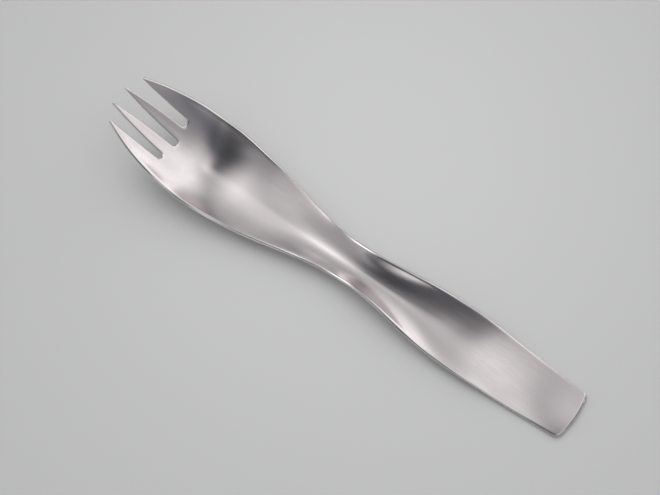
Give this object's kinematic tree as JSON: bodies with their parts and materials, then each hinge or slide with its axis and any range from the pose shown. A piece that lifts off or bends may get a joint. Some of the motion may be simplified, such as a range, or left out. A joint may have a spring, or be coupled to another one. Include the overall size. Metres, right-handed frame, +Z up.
{
  "type": "dinner fork",
  "caption": "Dinner fork pressed from sheet steel, with a dished head, tapering tines, a troughed neck and a broad flat handle with a squared end.",
  "frame": {"origin": "on the table, under the middle of the fork's length and width", "axes": "+X along the fork towards the points of the tines, +Z up, out of the hollow side of the head, table at z = 0"},
  "size_m": [0.1803, 0.0318, 0.0194],
  "materials": {
    "steel": "satin, finely brushed along the length"
  },
  "bodies": {
    "root": {"fork": "steel"}
  },
  "joints": []
}
